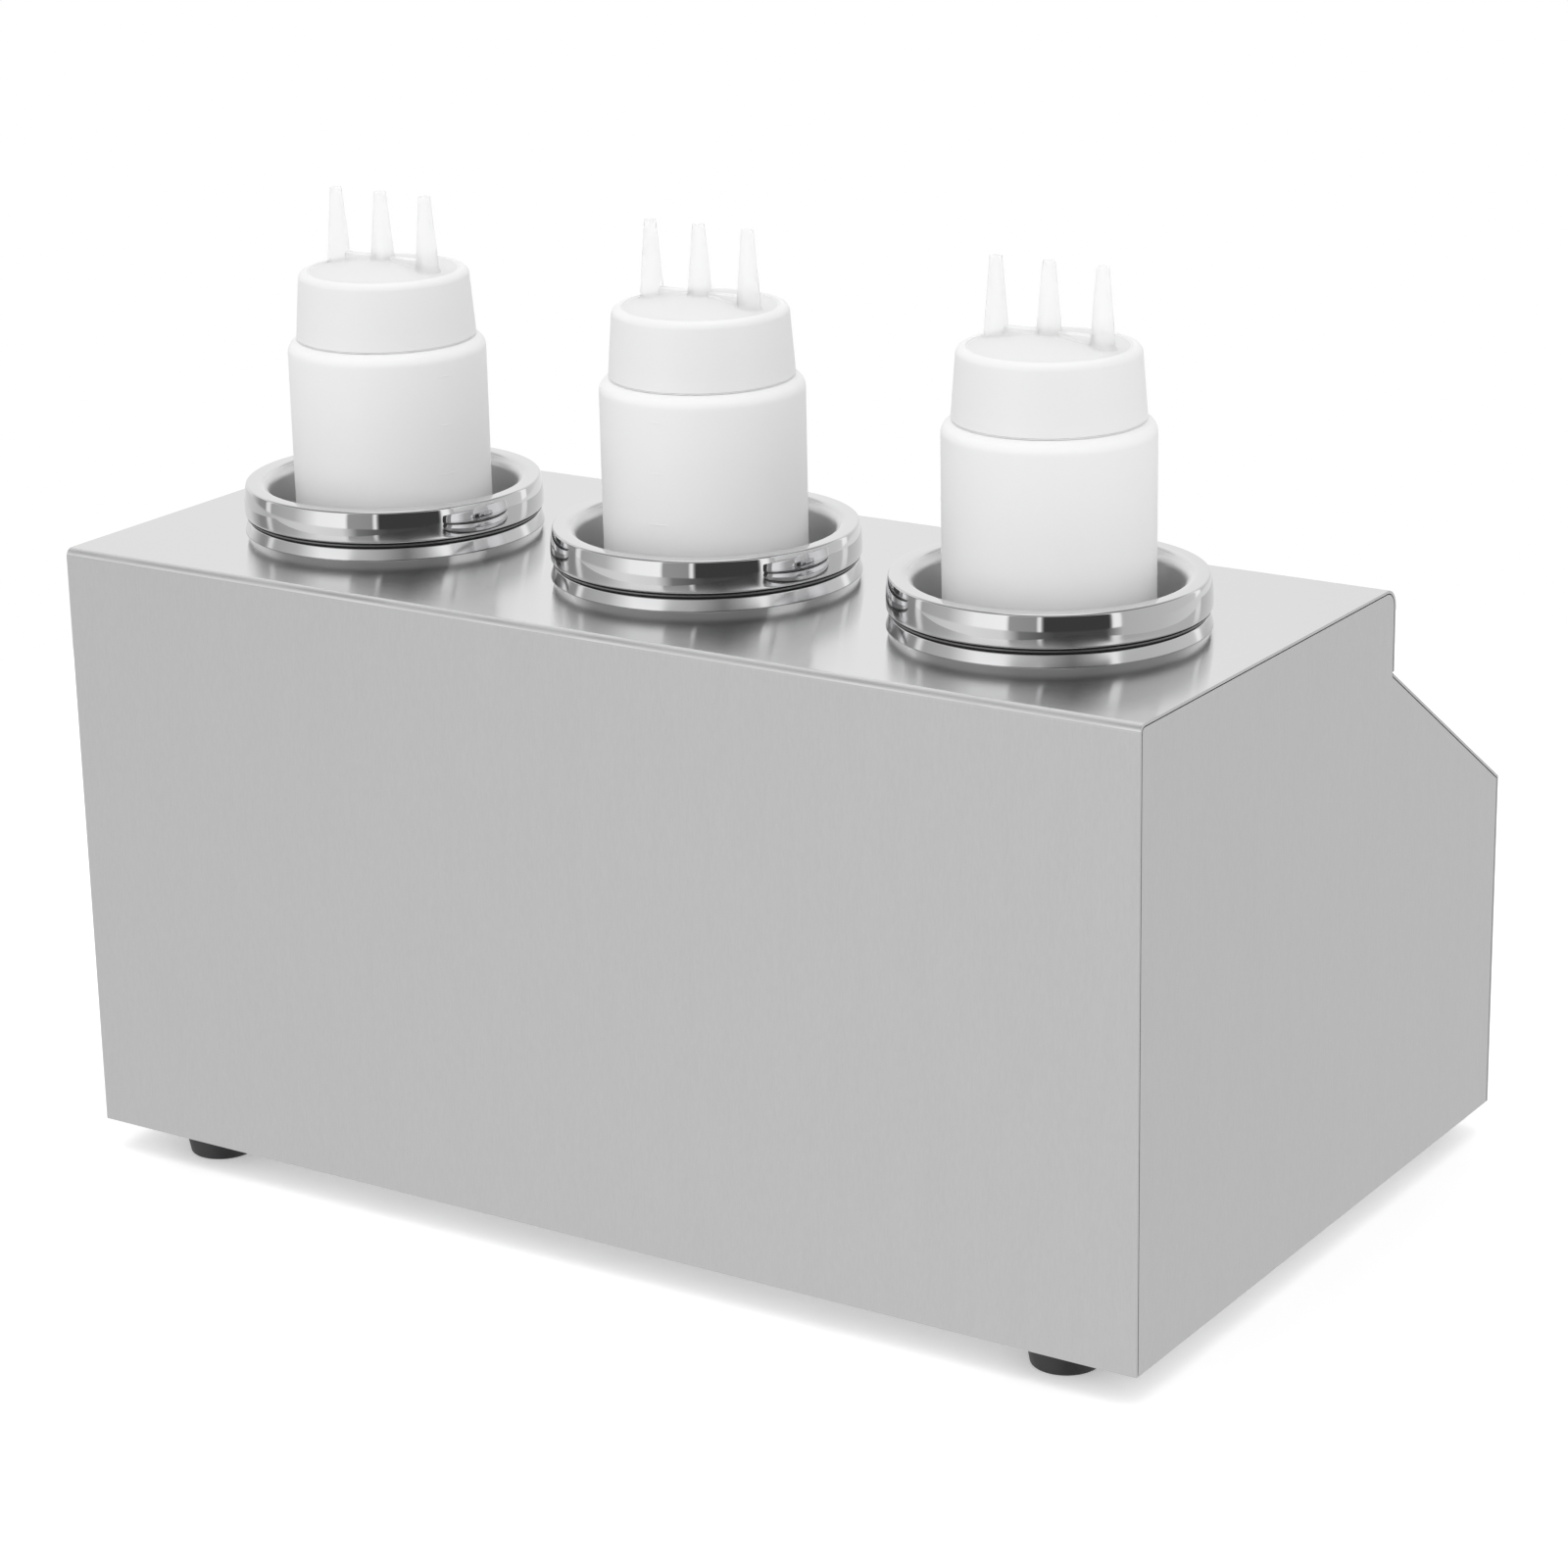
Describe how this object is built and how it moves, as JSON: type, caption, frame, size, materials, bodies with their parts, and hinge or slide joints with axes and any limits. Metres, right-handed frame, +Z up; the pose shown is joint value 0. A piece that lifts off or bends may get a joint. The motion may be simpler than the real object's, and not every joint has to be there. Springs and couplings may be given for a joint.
{
  "type": "electric sauce warmer",
  "caption": "Countertop electric sauce warmer: brushed steel cabinet with heated wells, lift-out pots with polished rims, and squeeze bottles with multi-tip screw caps.",
  "frame": {"origin": "centre of the footprint, at the ground under the feet", "axes": "+X to the right seen from the control slope, +Y to the rear, +Z up"},
  "size_m": [0.45, 0.282, 0.3643],
  "materials": {
    "cabinet_steel": "fine brushed stainless sheet",
    "base_steel": "plain mill finish steel",
    "polished_steel": "mirror polished stainless",
    "screw_steel": "zinc plated",
    "heater_metal": "clad mica band heater",
    "copper": "bare copper",
    "foot_rubber": "matt black rubber",
    "gasket_rubber": "matt black silicone",
    "seal_rubber": "soft pale seal",
    "milky_plastic": "translucent milky polyethylene",
    "ceramic_cream": "unglazed ceramic",
    "knob_plastic": "moulded black",
    "black_plastic": "moulded black",
    "dial_metal": "satin dial plate with printed scale",
    "lamp_amber": "clear amber lens"
  },
  "bodies": {
    "cabinet": {"wrap_shell": "cabinet_steel", "front_panel": "cabinet_steel", "side_panel_left": "cabinet_steel", "side_panel_right": "cabinet_steel", "base_plate": "base_steel", "foot_rear_left": "foot_rubber", "foot_rear_right": "foot_rubber", "foot_front_left": "foot_rubber", "foot_front_right": "foot_rubber", "foot_screws": "screw_steel", "base_screws": "screw_steel", "well_1": "polished_steel", "well_2": "polished_steel", "well_3": "polished_steel", "well_clamp_1": "base_steel", "well_clamp_2": "base_steel", "well_clamp_3": "base_steel", "gasket_1": "gasket_rubber", "gasket_2": "gasket_rubber", "gasket_3": "gasket_rubber", "heater_band_1": "heater_metal", "heater_band_2": "heater_metal", "heater_band_3": "heater_metal", "thermal_cutouts": "black_plastic", "sensor_1": "copper", "sensor_2": "copper", "sensor_3": "copper", "bulb_clips": "screw_steel", "thermostat_1": "ceramic_cream", "thermostat_2": "ceramic_cream", "thermostat_3": "ceramic_cream", "dial_plate_1": "dial_metal", "dial_plate_2": "dial_metal", "dial_plate_3": "dial_metal", "pilot_lamp_1": "lamp_amber", "pilot_lamp_2": "lamp_amber", "pilot_lamp_3": "lamp_amber", "switch_body": "black_plastic", "terminal_block": "ceramic_cream", "cord_bush": "gasket_rubber"},
    "pot_1": {"pot_1": "polished_steel"},
    "bottle_1": {"bottle_1": "milky_plastic"},
    "cap_seal_1": {"cap_seal_1": "seal_rubber"},
    "cap_1": {"cap_1": "milky_plastic"},
    "knob_1": {"knob_1": "knob_plastic", "shaft_1": "screw_steel"},
    "pot_2": {"pot_2": "polished_steel"},
    "bottle_2": {"bottle_2": "milky_plastic"},
    "cap_seal_2": {"cap_seal_2": "seal_rubber"},
    "cap_2": {"cap_2": "milky_plastic"},
    "knob_2": {"knob_2": "knob_plastic", "shaft_2": "screw_steel"},
    "pot_3": {"pot_3": "polished_steel"},
    "bottle_3": {"bottle_3": "milky_plastic"},
    "cap_seal_3": {"cap_seal_3": "seal_rubber"},
    "cap_3": {"cap_3": "milky_plastic"},
    "knob_3": {"knob_3": "knob_plastic", "shaft_3": "screw_steel"},
    "rocker": {"switch_rocker": "black_plastic"}
  },
  "joints": [
    {"name": "pot_1_lift", "type": "slide", "parent": "cabinet", "child": "pot_1", "axis": [0, 0, 1], "range_m": [0, 0.135]},
    {"name": "bottle_1_lift", "type": "slide", "parent": "pot_1", "child": "bottle_1", "axis": [0, 0, 1], "range_m": [0, 0.145]},
    {"name": "cap_1_rise", "type": "slide", "parent": "bottle_1", "child": "cap_seal_1", "axis": [0, 0, 1], "range_m": [0, 0.032]},
    {"name": "cap_1_turn", "type": "hinge", "parent": "cap_seal_1", "child": "cap_1", "pos_m": [-0.141, 0.051, 0.32], "axis": [0, 0, 1], "range_deg": [0, 1440]},
    {"name": "knob_1_turn", "type": "hinge", "parent": "cabinet", "child": "knob_1", "pos_m": [-0.141, -0.10058, 0.17052], "axis": [0, -0.5628, 0.8266], "range_deg": [-270, 0]},
    {"name": "pot_2_lift", "type": "slide", "parent": "cabinet", "child": "pot_2", "axis": [0, 0, 1], "range_m": [0, 0.135]},
    {"name": "bottle_2_lift", "type": "slide", "parent": "pot_2", "child": "bottle_2", "axis": [0, 0, 1], "range_m": [0, 0.145]},
    {"name": "cap_2_rise", "type": "slide", "parent": "bottle_2", "child": "cap_seal_2", "axis": [0, 0, 1], "range_m": [0, 0.032]},
    {"name": "cap_2_turn", "type": "hinge", "parent": "cap_seal_2", "child": "cap_2", "pos_m": [0, 0.051, 0.32], "axis": [0, 0, 1], "range_deg": [0, 1440]},
    {"name": "knob_2_turn", "type": "hinge", "parent": "cabinet", "child": "knob_2", "pos_m": [0, -0.10058, 0.17052], "axis": [0, -0.5628, 0.8266], "range_deg": [-270, 0]},
    {"name": "pot_3_lift", "type": "slide", "parent": "cabinet", "child": "pot_3", "axis": [0, 0, 1], "range_m": [0, 0.135]},
    {"name": "bottle_3_lift", "type": "slide", "parent": "pot_3", "child": "bottle_3", "axis": [0, 0, 1], "range_m": [0, 0.145]},
    {"name": "cap_3_rise", "type": "slide", "parent": "bottle_3", "child": "cap_seal_3", "axis": [0, 0, 1], "range_m": [0, 0.032]},
    {"name": "cap_3_turn", "type": "hinge", "parent": "cap_seal_3", "child": "cap_3", "pos_m": [0.141, 0.051, 0.32], "axis": [0, 0, 1], "range_deg": [0, 1440]},
    {"name": "knob_3_turn", "type": "hinge", "parent": "cabinet", "child": "knob_3", "pos_m": [0.141, -0.10058, 0.17052], "axis": [0, -0.5628, 0.8266], "range_deg": [-270, 0]},
    {"name": "rocker_tip", "type": "hinge", "parent": "cabinet", "child": "rocker", "pos_m": [0.0705, -0.0999, 0.16953], "axis": [1, 0, 0], "range_deg": [-18, 0]}
  ],
  "couplings": [
    {"joint": "cap_1_rise", "follows": "cap_1_turn", "m_per_rad": 0.0012732},
    {"joint": "cap_2_rise", "follows": "cap_2_turn", "m_per_rad": 0.0012732},
    {"joint": "cap_3_rise", "follows": "cap_3_turn", "m_per_rad": 0.0012732}
  ]
}
